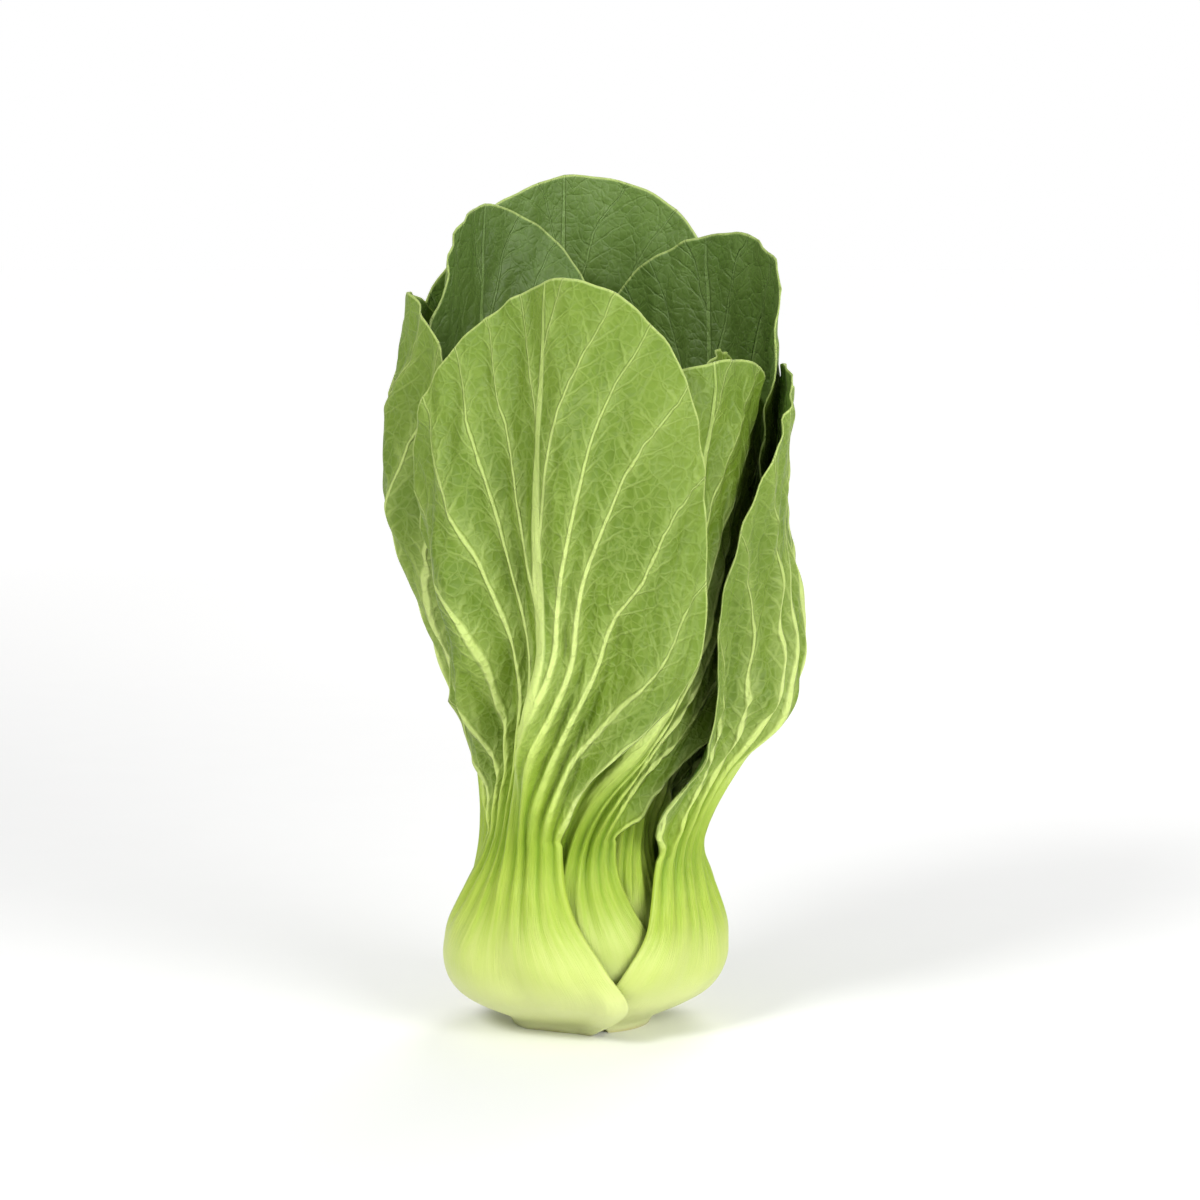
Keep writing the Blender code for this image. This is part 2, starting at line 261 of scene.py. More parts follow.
def wavedBlade(leaf, turn, across, blade):
    # How far the blade stands out: the square of its turn opens its sides, and two sine waves grow
    # towards the margin
    opening = bladeShape["openness"] * turn ** 2 / 2 * headRadius(leaf["neck"]) * blade ** 1.5
    wave = bladeShape["wave"] * blade ** 2
    wave = wave * np.sin(math.pi * bladeShape["waveTurns"] * across + leaf["phase"])
    wave = wave + 0.5 * bladeShape["wave"] * blade * np.sin(5 * blade + 3 * across - leaf["phase"])
    return opening + wave


def pucker(across, blade):
    # How deep the blade is drawn in between its veins: most in the middle of its end
    return bladeShape["pucker"] * blade * (1 - np.abs(across))


def innerRadius(leaf, height, thickness, middle, relief):
    # The wanted inner face: the leaf's layer of the head's radius, less most of its thickest part, and at
    # its foot the stem's own radius, left fastest at first
    bedded = stalkShape["bedding"] * middle + (1 - stalkShape["bedding"]) * thickness
    wanted = headRadius(height) * wantedLayer(leaf, height) - bedded + relief
    grip = np.clip((height - leaf["foot"]) / stalkShape["footSpread"], 0, 1)
    grip = grip * (2 - grip)
    return wanted * grip + (stemRadius(height) + headShape["gap"]) * (1 - grip)


# Each leaf moves out until it clears the leaves inside it

def neighbours(grid):
    # The grid moved by one place each way, with its edges repeated
    padded = np.pad(grid, 1, mode="edge")
    return padded[:-2, 1:-1], padded[2:, 1:-1], padded[1:-1, :-2], padded[1:-1, 2:]


def facetShares(columns):
    # Even places on each column's facets, as shares of the facet's four corners. A facet is two
    # triangles, so one share of the four is always nothing
    u, v = np.meshgrid(np.linspace(0, 1, clearing["samples"]), np.linspace(0, 1, clearing["samples"]))
    left = [1 - np.maximum(u, v), np.maximum(u - v, 0), np.minimum(u, v), np.maximum(v - u, 0)]
    mirrored = u[:, ::-1]
    right = [np.maximum(mirrored - v, 0), 1 - np.maximum(mirrored, v), np.maximum(v - mirrored, 0),
             np.minimum(mirrored, v)]
    return np.array([left] * (columns // 2) + [right] * (columns // 2)).reshape(columns, 4, -1)


def pointsAt(angle, height, radius):
    # x is the radius times the angle's sine, and y less the radius times its cosine: 0 is the front
    return np.stack([radius * np.sin(angle), -radius * np.cos(angle), height], -1)


def facetSamples(radius, angle, height, shares):
    # Radius, angle and height of even places on every facet, each the sum of its corners by their shares
    points = pointsAt(angle, height, radius)
    corners = np.array([points[:-1, :-1], points[:-1, 1:], points[1:, 1:], points[1:, :-1]])
    x, y, z = np.moveaxis(np.einsum("jks,kijc->sijc", shares, corners), -1, 0)
    return np.hypot(x, y), np.arctan2(x, -y), z


def cellOf(angle, height):
    # The row and column of the grid of heights and angles
    row = np.clip(np.rint(height / clearing["cell"]).astype(int), 0, clearing["rows"] - 1)
    return row, np.rint(np.degrees(angle) * clearing["turns"] / 360).astype(int) % clearing["turns"]


def coverOf(front):
    # Each cell's front raised to the furthest of its neighbours, joined round the head
    wrapped = np.hstack([front[:, -1:], front, front[:, :1]])
    return np.maximum.reduce([wrapped, *neighbours(wrapped)])[:, 1:-1]


def liftClear(front, wanted, angle, height, shares):
    # How far out each corner moves. Where a place on a facet falls short of the front, its corners take
    # up the lack by their shares in it, and the first few rounds are evened out between neighbours
    cover = coverOf(front)
    lift = np.zeros_like(wanted)
    push = np.moveaxis(shares / (shares ** 2).sum(1, keepdims=True), 0, -1)[:, :, None, :]
    for step in range(clearing["steps"]):
        radius, around, up = facetSamples(wanted + lift, angle, height, shares)
        short = np.maximum(cover[cellOf(around, up)] + headShape["gap"] - radius, 0)
        need = np.zeros_like(lift)
        spots = [need[:-1, :-1], need[:-1, 1:], need[1:, 1:], need[1:, :-1]]
        for spot, share in zip(spots, push):
            np.maximum(spot, (short * share).max(0), out=spot)
        lift = lift + need
        if step < clearing["evening"]:
            lift = np.maximum(lift, (4 * lift + sum(neighbours(lift))) / 8)
    return lift


def curveWeights(count, at):
    # Cubic weights that carry values at whole places to the places at, through the four nearest
    base = np.clip(np.floor(at).astype(int), 0, count - 2)
    u = at - base
    weights = np.zeros((len(at), count))
    parts = [-0.5 * u + u ** 2 - 0.5 * u ** 3, 1 - 2.5 * u ** 2 + 1.5 * u ** 3,
             0.5 * u + 2 * u ** 2 - 1.5 * u ** 3, -0.5 * u ** 2 + 0.5 * u ** 3]
    for step, part in enumerate(parts):
        np.add.at(weights, (np.arange(len(at)), np.clip(base + step - 1, 0, count - 1)), part)
    return weights


def refined(lift, leaf):
    # The lift of the solids' few corners carried smoothly to the fine grid's many
    (stalkRows, bladeRows, columns), (fineStalk, fineBlade, fineColumns) = leaf["coarse"], leaf["fine"]
    rowsAt = np.concatenate([np.linspace(0, stalkRows, fineStalk + 1)[:-1],
                             stalkRows + np.linspace(0, bladeRows, fineBlade + 1)])
    columnsAt = np.linspace(0, columns, fineColumns + 1)
    return curveWeights(lift.shape[0], rowsAt) @ lift @ curveWeights(lift.shape[1], columnsAt).T


# The stem

stemShape = {
    "profile": [(0, 27), (2.6, 23), (5.4, 15), (8.2, 8), (10.6, 3), (13, 0.8), (13, 0)],   # radius, height
    "columns": 180,
    "sideRows": 60,
    "faceRows": 40,
    "edge": 0.5 * mm,          # how far the cut edge is worn round
    "grain": 0.12 * mm,        # the cut face's own unevenness
}


def stemRadius(height):
    # Straight from one point of the profile to the next
    radii, heights = np.array(stemShape["profile"], float).T
    return np.interp(height / mm, heights[::-1], radii[::-1]) * mm


def stemGrid():
    # Angle by way down the profile: down the cone to the cut edge, then in across the cut face, which the
    # vessels' rings draw up by up to a tenth of a millimetre
    side = np.linspace(1, 0, stemShape["sideRows"] + 1) ** 1.3
    sideHeight = stemShape["profile"][0][1] * mm * side
    sideRadius = np.maximum(stemRadius(sideHeight), 0.15 * mm)
    sideRadius = sideRadius - stemShape["edge"] * np.exp(-sideHeight / (0.4 * mm))
    faceRadius = np.linspace(sideRadius[-1], 0.1 * mm, stemShape["faceRows"] + 1)[1:]
    faceHeight = stemShape["grain"] * (0.5 - 0.5 * np.cos(faceRadius / mm * 1.9)) * ease(12 - faceRadius / mm)
    radius = np.concatenate([sideRadius, faceRadius])[:, None]
    height = np.concatenate([sideHeight, faceHeight])[:, None]
    angle = np.linspace(0, 2 * math.pi, stemShape["columns"] + 1)[None, :-1]
    return angle + 0 * radius, height + 0 * angle, radius + 0 * angle


# Meshes

def addObject(name, data):
    # Linked to the scene at the origin, unturned and unscaled
    made = bpy.data.objects.new(name, data)
    bpy.context.scene.collection.objects.link(made)
    return made


def gridFaces(rows, columns, first=0, flip=False, closed=False):
    # Quads over a grid of points, turned over where flip says so, and joined round where it is closed
    i, j = np.meshgrid(np.arange(rows), np.arange(columns), indexing="ij")
    width = columns if closed else columns + 1
    following = (j + 1) % columns if closed else j + 1
    corners = [i * width + j, i * width + following, (i + 1) * width + following, (i + 1) * width + j]
    faces = np.stack(corners, -1).reshape(-1, 4) + first
    return faces[:, ::-1] if flip else faces


def marginLoop(rows, columns):
    # The grid's outer points in order: along the foot, up the right side, back over the top, and down
    wide = columns + 1
    return np.concatenate([np.arange(columns), np.arange(rows) * wide + columns,
                           rows * wide + np.arange(columns, 0, -1), np.arange(rows, 0, -1) * wide])


def addPiece(name, points, faces, material, values):
    # A smooth mesh of quads, with its named values kept at the points
    mesh = bpy.data.meshes.new(name)
    mesh.vertices.add(len(points))
    mesh.vertices.foreach_set("co", points.astype(np.float32).ravel())
    mesh.loops.add(faces.size)
    mesh.loops.foreach_set("vertex_index", faces.astype(np.int32).ravel())
    mesh.polygons.add(len(faces))
    mesh.polygons.foreach_set("loop_start", np.arange(0, faces.size, 4, dtype=np.int32))
    mesh.update(calc_edges=True)
    mesh.validate()
    mesh.shade_smooth()
    for key, value in values.items():
        layer = mesh.attributes.new(key, "FLOAT", "POINT")
        layer.data.foreach_set("value", value.astype(np.float32).ravel())
    mesh.materials.append(material)
    return addObject(name, mesh)


def columnLength(points):
    # The distance gone along each column from its foot, the sum of its steps
    steps = np.linalg.norm(np.diff(points, axis=0), axis=-1)
    return np.vstack([np.zeros((1, points.shape[1])), np.cumsum(steps, 0)])


def perMillimetre(points, field):
    # How fast a field changes over the surface: its slope by the surface's own first fundamental form
    up, across = np.gradient(points, axis=0) / mm, np.gradient(points, axis=1) / mm
    fieldUp, fieldAcross = np.gradient(field, axis=0), np.gradient(field, axis=1)
    e, f, g = [(a * b).sum(-1) for a, b in ((across, across), (across, up), (up, up))]
    area = np.maximum(e * g - f * f, 1e-6)
    square = (g * fieldAcross ** 2 - 2 * f * fieldAcross * fieldUp + e * fieldUp ** 2) / area
    return np.sqrt(np.maximum(square, 1e-8))


def veinLines(across, blade, phase):
    # Numbered lines of veins, one at each whole number. At the neck they are even steps across the stalk,
    # the midrib being 0 and broader than the rest. Up the blade new ones leave the midrib as a power of
    # the way up, ever less so towards the sides, and the two halves come half a step apart
    out = np.abs(across)
    atNeck = out / 0.25 - 0.26 * np.exp(-((out - 0.17) / 0.1) ** 2)
    leaving = fineShape["fan"] * blade ** fineShape["fanPower"] * (1 - out) ** 3
    uneven = 0.5 * ease(blade / 0.45) * (across < 0) * (1 - out)
    sway = 0.07 * np.sin(9 * blade + 7 * across + phase) + 0.05 * np.sin(19 * blade - 5 * across + phase)
    return atNeck - leaving - uneven + sway * ease(blade / 0.3)


def veinPlaces(leaf, plain, across, blade):
    # The vein lines, the millimetres from one to the next, and each point's distance from its nearest
    # line and from the midrib
    lines = veinLines(across, blade, leaf["phase"])
    scale = np.clip(1 / perMillimetre(plain, lines), 0.5, 60)
    span = np.clip(1 / perMillimetre(plain, across), 1, 200)
    return {"lines": lines, "scale": scale, "span": span,
            "off": np.abs(lines - np.rint(lines)) * scale, "offMidrib": np.abs(across) * span}


def fineRelief(leaf, turn, across, blade, veins):
    # The waved blade with hollows between the vein lines, then soft swellings of sine waves each way, and
    # small waves of the margin that grow with the fifth power of the way up
    between = np.abs(np.sin(math.pi * veins["lines"])) ** 1.3
    inside = ease((1 - np.abs(across)) / 0.3)
    valley = fineShape["valley"] * ease(blade / 0.2) * (1 - blade) ** 0.8 * inside
    depth = np.maximum(0.9 * pucker(across, blade) * np.minimum(1, 12 * (1 - blade)), valley)
    depth = depth * ease(veins["off"] / 2.2) * ease((veins["offMidrib"] - 1) / 6)
    phase = leaf["phase"]
    x, y = 11 * across * (0.3 + blade), 13 * blade
    swelling = np.sin(2.1 * x + phase) * np.sin(1.7 * y - phase) + np.sin(3.9 * x - 1.3 * y + 2 * phase)
    swelling = swelling + 0.7 * np.sin(2.7 * y + 5.3 * x - phase) + 0.5 * np.sin(6.1 * x + 4.7 * y + phase)
    ruffle = np.sin(11 * across + phase + 2 * np.sin(4 * across + phase))
    ruffle = ruffle + 0.25 * np.sin(26 * across + 2 * phase + 3 * np.sin(6 * across - phase))
    ruffle = ruffle * np.clip(1.1 - np.abs(across) ** 4, 0, 1)
    plain = wavedBlade(leaf, turn, across, blade) - depth * between
    plain = plain + fineShape["blister"] * swelling * ease(blade / 0.35) * inside
    return plain + fineShape["ruffle"] * blade ** 5 * ruffle * ease(inside * 4)


def unevenMargin(leaf, turn, height, across, blade):
    # Three sine waves nick the blade's end by the eighth power of the way up, and the frill widens its
    # sides by the eighth power of across, in one slow wave
    phase = leaf["phase"]
    nick = np.sin(23 * across + phase) + 0.8 * np.sin(41 * across - 2 * phase)
    nick = nick + 0.5 * np.sin(83 * across + phase)
    height = height + fineShape["nick"] * nick * blade ** 8 * (1 - across ** 6)
    frilled = np.sign(across) == fineShape["frilledSides"].get(leaf["name"], 0)
    frill = ease(blade * 5) * np.abs(across) ** 8 * np.sign(across)
    frill = frill * np.where(frilled, 1, fineShape["frillElsewhere"])
    frill = frill * (0.7 + 0.3 * np.sin(7 * blade + phase))
    return turn + fineShape["frill"] * frill / headRadius(height), height


def veinedThickness(leaf, thickness, across, stalk, blade, veins):
    # The solids' thickness, less their broad ribs over the blade and less grooves between the lines up
    # the stalk. Side veins and midrib stand on it as bell curves of the distance from their lines
    lines, offMidrib = veins["lines"], veins["offMidrib"]
    width = fineShape["veinWidth"] * (1 - blade) ** 1.1 + fineShape["leastVein"]
    cord = np.exp(-(veins["off"] / np.minimum(width, 0.3 * veins["scale"])) ** 2)
    cord = cord * fineShape["veinHeight"] * (1 - 0.75 * blade) * ease(blade / 0.12)
    width = fineShape["midribWidth"] * (1 - blade) ** 0.8 + fineShape["leastMidrib"]
    midrib = np.exp(-(offMidrib / width) ** 2) * bladeShape["midribHeight"] * (1 - 0.85 * blade)
    midrib = midrib * ease((stalk - 0.5) / 0.5)
    narrow = (1 - np.abs(np.cos(math.pi * lines))) ** 1.5
    unlike = 0.65 + 0.35 * np.sin(2.3 * np.floor(lines) + 3 * (across < 0) + leaf["phase"])
    groove = fineShape["groove"] * narrow * unlike * ease((stalk - 0.4) / 0.5) * (1 - blade) ** 3
    groove = groove * ease((1 - np.abs(across)) / 0.2) * ease((offMidrib - 0.6) / 2.4)
    bladeOn = ease(blade / 0.3)
    body = thickness - broadRibs(leaf, across, stalk, blade) * bladeOn
    body = np.maximum(body - groove, np.minimum(body, fineShape["leastStalk"]))
    return body, np.maximum(cord, midrib * bladeOn)


def fineClear(front, inner, angle, height):
    # The little that the fine face still lacks to the front, taken over a few rows and evened out
    need = np.maximum(coverOf(front)[cellOf(angle, height)] + fineShape["gap"] - inner, 0)
    need = np.maximum.reduce([need, *neighbours(need)])
    for _ in range(clearing["fineEvening"]):
        need = np.maximum(need, (need + sum(neighbours(need))) / 5)
    return need


def closedLeaf(angle, height, inner, outer):
    # The inner face turned over, the outer face, and a rounded margin between them: the rim's middle
    # stands out from the point inside it by a share of the thickness
    rows, columns = height.shape[0] - 1, height.shape[1] - 1
    innerPoints, outerPoints = pointsAt(angle, height, inner), pointsAt(angle, height, outer)
    count = height.size
    loop = marginLoop(rows, columns)
    centres = (innerPoints + outerPoints) / 2
    inward = np.zeros_like(centres)
    inward[:, 0], inward[:, -1] = centres[:, 1] - centres[:, 0], centres[:, -2] - centres[:, -1]
    inward[-1] = centres[-2] - centres[-1]
    inward = inward / np.maximum(np.linalg.norm(inward, axis=-1, keepdims=True), 1e-9)
    rimPoints = centres - fineShape["rim"] * (outer - inner)[..., None] * inward
    rimPoints = rimPoints.reshape(-1, 3)[loop]
    rimPoints[:, 2] = np.maximum(rimPoints[:, 2], 0)
    points = np.vstack([innerPoints.reshape(-1, 3), outerPoints.reshape(-1, 3), rimPoints])

    onward = np.roll(loop, -1)
    rim = 2 * count + np.arange(len(loop))
    rimOn = np.roll(rim, -1)
    faces = np.vstack([
        gridFaces(rows, columns, 0, flip=True),
        gridFaces(rows, columns, count),
        np.stack([loop, onward, rimOn, rim], -1),
        np.stack([rim, rimOn, onward + count, loop + count], -1),
    ])
    return points, faces, loop


def coarseLeaf(leaf, front):
    # The leaf as the solids have it: how far it moves out, and how far the head has grown with it
    shares = facetShares(leaf["coarse"][2])
    turn, height, across, stalk, blade = leafGrid(leaf, *leaf["coarse"])
    angle = leafAngle(leaf, height) + turn
    thickness = leafThickness(leaf, height, across, stalk, blade)
    middle = leafThickness(leaf, height, 0 * across, stalk, blade)
    relief = wavedBlade(leaf, turn, across, blade) + pucker(across, blade) * (ribs(across, leaf["pitch"]) - 1)
    inner = innerRadius(leaf, height, thickness, middle, relief)
    lift = liftClear(front, inner, angle, height, shares)
    radius, around, up = facetSamples(inner + lift + thickness, angle, height, shares)
    grown = front.copy()
    np.maximum.at(grown, cellOf(around, up), radius)
    return lift, grown


def fineLeaf(leaf, lift, front, material):
    # The leaf's two faces on the fine grid, on the solids' way out, and what the material reads at each
    # point: millimetres along the column, across and to the margin, the vein lines, and which side it is
    turn, height, across, stalk, blade = leafGrid(leaf, *leaf["fine"])
    turn, height = unevenMargin(leaf, turn, height, across, blade)
    angle = leafAngle(leaf, height) + turn
    plain = pointsAt(angle, height, headRadius(height) * wantedLayer(leaf, height))
    veins = veinPlaces(leaf, plain, across, blade)
    thickness = leafThickness(leaf, height, across, stalk, blade)
    middle = leafThickness(leaf, height, 0 * across, stalk, blade)
    body, ridged = veinedThickness(leaf, thickness, across, stalk, blade, veins)
    relief = fineRelief(leaf, turn, across, blade, veins)
    inner = innerRadius(leaf, height, thickness, middle, relief) + refined(lift, leaf)
    inner = inner + fineClear(front, inner, angle, height)
    outer = inner + body + ridged
    thin = (1 - fineShape["thinnest"]) * ease((blade - 0.25) / 0.75)
    points, faces, loop = closedLeaf(angle, height, inner + body * thin, outer)

    along = columnLength(plain) / mm
    offSide = (1 - np.abs(across)) * veins["span"] + 60 * (blade <= 0)
    values = {"across": across, "rise": stalk + blade, "along": along, "span": veins["span"],
              "edge": np.minimum(along[-1:] - along, offSide), "lines": veins["lines"],
              "veinScale": veins["scale"]}
    values = {key: value.ravel() for key, value in values.items()}
    values = {key: np.concatenate([value, value, value[loop]]) for key, value in values.items()}
    values["side"] = np.repeat([1, 0, 0.5], [height.size, height.size, len(loop)])    # face, back, rim
    piece = addPiece(leaf["name"] + "_fine", points, faces, material, values)
    grown = front.copy()
    np.maximum.at(grown, cellOf(angle, height), outer)
    return piece, grown


# Shader building

def feed(tree, socket, value):
    # A link where the value comes from a node, and otherwise the socket's own constant
    if isinstance(value, bpy.types.NodeSocket):
        tree.links.new(value, socket)
    else:
        socket.default_value = value


def put(tree, kind, settings=None, **inputs):
    # A node with its settings, and its sockets by name or, for the numbered ones, as s0, s1 and so on
    made = tree.nodes.new("ShaderNode" + kind)
    for key, value in (settings or {}).items():
        setattr(made, key, value)
    for key, value in inputs.items():
        numbered = key[0] == "s" and key[1:].isdigit()
        feed(tree, made.inputs[int(key[1:]) if numbered else key], value)
    return made


def calc(tree, operation, a, b=0.0, c=0.0, clamp=False):
    # A Math node's result
    return put(tree, "Math", {"operation": operation, "use_clamp": clamp}, s0=a, s1=b, s2=c).outputs[0]


def times(tree, a, b):
    return calc(tree, "MULTIPLY", a, b)


def scaled(tree, a, b, c):
    # a times b, plus c
    return calc(tree, "MULTIPLY_ADD", a, b, c)


def fade(tree, value, low, high, start=0.0, end=1.0):
    # From start to end as the value goes from low to high, slowly at both ends
    limits = {"From Min": low, "From Max": high, "To Min": start, "To Max": end}
    return put(tree, "MapRange", {"interpolation_type": "SMOOTHSTEP"}, Value=value, **limits).outputs[0]


def noise(tree, place, scale, detail, **others):
    # Cloudy values round a half
    return put(tree, "TexNoise", Vector=place, Scale=scale, Detail=detail, **others).outputs["Fac"]


def blend(tree, share, a, b, kind="MIX"):
    # Colour a goes to colour b by the share
    return put(tree, "Mix", {"data_type": "RGBA", "blend_type": kind}, s0=share, s6=a, s7=b).outputs[2]


def tinted(tree, share, colour, tint):
    # A colour goes by the share to itself times the tint
    return blend(tree, share, colour, blend(tree, 1.0, colour, (*tint, 1.0), "MULTIPLY"))


def linear(red, green, blue):
    # A colour as read off a screen, 0 to 255, as linear light
    values = np.array([red, green, blue]) / 255
    values = np.where(values <= 0.04045, values / 12.92, ((values + 0.055) / 1.055) ** 2.4)
    return (*[float(value) for value in values], 1.0)


def ramp(tree, value, stops):
    # Colours as read off a screen, at places from 0 to 1, and eased between
    made = put(tree, "ValToRGB", Fac=value)
    made.color_ramp.interpolation = "EASE"
    while len(made.color_ramp.elements) < len(stops):
        made.color_ramp.elements.new(0.5)
    for element, (place, colour) in zip(made.color_ramp.elements, stops):
        element.position = place
        element.color = linear(*colour)
    return made.outputs[0]


def newGroup(name, inputs, outputs):
    # A shader group with its inputs' names and starting values, and its outputs' names, all numbers
    group = bpy.data.node_groups.new(name, "ShaderNodeTree")
    for label, start in inputs.items():
        kind = "NodeSocketVector" if isinstance(start, tuple) else "NodeSocketFloat"
        group.interface.new_socket(label, in_out="INPUT", socket_type=kind).default_value = start
    for label in outputs:
        group.interface.new_socket(label, in_out="OUTPUT", socket_type="NodeSocketFloat")
    given = group.nodes.new("NodeGroupInput").outputs
    return group, given, group.nodes.new("NodeGroupOutput").inputs


def giveOut(group, out, **values):
    # Each value goes to the group's output of that name
    for label, value in values.items():
        group.links.new(value, out[label])
    return group


def useGroup(tree, group, **inputs):
    # The group placed in a material, with that material's own values
    return put(tree, "Group", {"node_tree": group}, **inputs).outputs


def newMaterial(name):
    # The material, its nodes and its shader
    material = bpy.data.materials.new(name)
    material.use_nodes = True
    return material, material.node_tree, material.node_tree.nodes["Principled BSDF"]


veinPattern = {
    "wander": 0.35,            # how far the mottle moves the lines at the margin, in steps from line to line
    "width": 0.72,             # in mm, of half a side vein where the blade begins, beyond the least
    "leastWidth": 0.2,
    "mostShare": 0.26,         # of the way to the next line, at the most
    "midribWidth": 2.5,        # the same for the midrib
    "leastMidrib": 0.3,
    "secondStep": 6.5,         # in mm, from one second vein to the next along a line
    "secondSlant": 2.4,        # steps that it gains over the way to the next line
    "secondStagger": 0.37,     # steps from line to line
    "secondWander": 2.6,
}


def makeVeinGroup():
    # Every vein lies along a numbered line, and is as wide as its distance from there in millimetres
    # allows: the distance from the nearest whole number, times the millimetres from line to line
    tree, given, out = newGroup(
        "leafVeins",
        {"Lines": 0.0, "Vein Scale": 1.0, "Across": 0.0, "Span": 1.0, "Rise": 0.0, "Along": 0.0,
         "Wander": 0.0},
        ("Cord", "Midrib", "Blade", "Beside", "Second"),
    )
    scale = given["Vein Scale"]
    blade = calc(tree, "SUBTRACT", given["Rise"], 1.0, clamp=True)
    left = calc(tree, "SUBTRACT", 1.0, blade)
    stray = times(tree, blade, veinPattern["wander"])
    moved = scaled(tree, given["Wander"], stray, given["Lines"])
    off = calc(tree, "PINGPONG", moved, 0.5)
    distance = times(tree, off, scale)
    width = calc(tree, "POWER", left, 1.3)
    width = scaled(tree, width, veinPattern["width"], veinPattern["leastWidth"])
    width = calc(tree, "MINIMUM", width, times(tree, scale, veinPattern["mostShare"]))
    cord = fade(tree, distance, times(tree, width, 0.45), times(tree, width, 1.35), 1.0, 0.0)
    beside = fade(tree, distance, width, scaled(tree, width, 2.0, 1.5), 1.0, 0.0)
    offMiddle = times(tree, calc(tree, "ABSOLUTE", given["Across"]), given["Span"])
    broad = calc(tree, "POWER", left, 0.9)
    broad = scaled(tree, broad, veinPattern["midribWidth"], veinPattern["leastMidrib"])
    midrib = fade(tree, offMiddle, times(tree, broad, 0.6), broad, 1.0, 0.0)

    # Second veins leave each line at a slant on both sides, staggered from line to line, and thin out
    # half way to the next line
    perStep = 1 / veinPattern["secondStep"]
    slant = veinPattern["secondSlant"]
    chevron = scaled(tree, off, -slant, times(tree, given["Along"], perStep))
    chevron = scaled(tree, calc(tree, "ROUND", moved), veinPattern["secondStagger"], chevron)
    chevron = scaled(tree, given["Wander"], veinPattern["secondWander"], chevron)
    steep = calc(tree, "DIVIDE", slant, scale)
    slope = calc(tree, "SQRT", scaled(tree, steep, steep, perStep ** 2))
    fromSecond = calc(tree, "DIVIDE", calc(tree, "PINGPONG", chevron, 0.5), slope)
    second = fade(tree, fromSecond, 0.08, 0.42, 1.0, 0.0)
    second = times(tree, second, fade(tree, off, 0.2, 0.5, 1.0, 0.35))
    return giveOut(tree, out, Cord=cord, Midrib=midrib, Blade=blade, Beside=beside, Second=second)


skinPattern = {
    "bendScale": 260.0,        # per metre, of the noise that bends the net
    "bend": 0.0014,            # in metres
    "patch": 0.42,             # cells of the wider net to one of the fine net, each way
    "mottleScale": 55.0,
    "grainScale": 1500.0,
}


def makeSkinGroup():
    # The fine blistered net between the veins, and soft mottling, on the object's own coordinates
    tree, given, out = newGroup(
        "leafSkin",
        {"Place": (0.0, 0.0, 0.0), "Cell": 1.0},
        ("Net", "Branch", "Swell", "Billow", "Mottle", "Grain"),
    )
    place = given["Place"]
    scale = calc(tree, "DIVIDE", 1000.0, given["Cell"])      # Cell is in mm
    bend = put(tree, "TexNoise", Vector=place, Scale=skinPattern["bendScale"], Detail=2.0)
    moved = put(tree, "VectorMath", {"operation": "MULTIPLY_ADD"}, s0=bend.outputs["Color"],
                s1=(skinPattern["bend"],) * 3, s2=place).outputs[0]

    def cells(size):
        made = put(tree, "TexVoronoi", {"feature": "DISTANCE_TO_EDGE"}, Vector=moved, Scale=size)
        return made.outputs["Distance"]

    small, wide = cells(scale), cells(times(tree, scale, skinPattern["patch"]))
    return giveOut(tree, out,
                   Net=fade(tree, small, 0.02, 0.13, 1.0, 0.0), Swell=fade(tree, small, 0.0, 0.42),
                   Branch=fade(tree, wide, 0.012, 0.06, 1.0, 0.0), Billow=fade(tree, wide, 0.0, 0.36),
                   Mottle=noise(tree, place, skinPattern["mottleScale"], 4.0, Roughness=0.55),
                   Grain=noise(tree, place, skinPattern["grainScale"], 3.0, Roughness=0.6))


fibrePattern = {
    "across": 30.0,            # noise units over half a leaf's width
    "along": 0.045,            # and over a millimetre up the stalk
    "fibreScale": 3.2,
    "streakScale": 0.55,
}


def makeFibreGroup():
    # Long fibres that run up a stalk, on the leaf's own across and along
    tree, given, out = newGroup("stalkFibres", {"Across": 0.0, "Along": 0.0}, ("Fibre", "Streak"))
    place = put(tree, "CombineXYZ", X=times(tree, given["Across"], fibrePattern["across"]),
                Y=times(tree, given["Along"], fibrePattern["along"]), Z=0.0).outputs[0]
    flat = {"noise_dimensions": "2D"}
    fibre = put(tree, "TexNoise", flat, Vector=place, Scale=fibrePattern["fibreScale"], Detail=3.0)
    streak = put(tree, "TexNoise", flat, Vector=place, Scale=fibrePattern["streakScale"], Detail=2.0)
    return giveOut(tree, out, Fibre=fibre.outputs["Fac"], Streak=streak.outputs["Fac"])


veinGroup, skinGroup, fibreGroup = makeVeinGroup(), makeSkinGroup(), makeFibreGroup()
print("shader groups built")

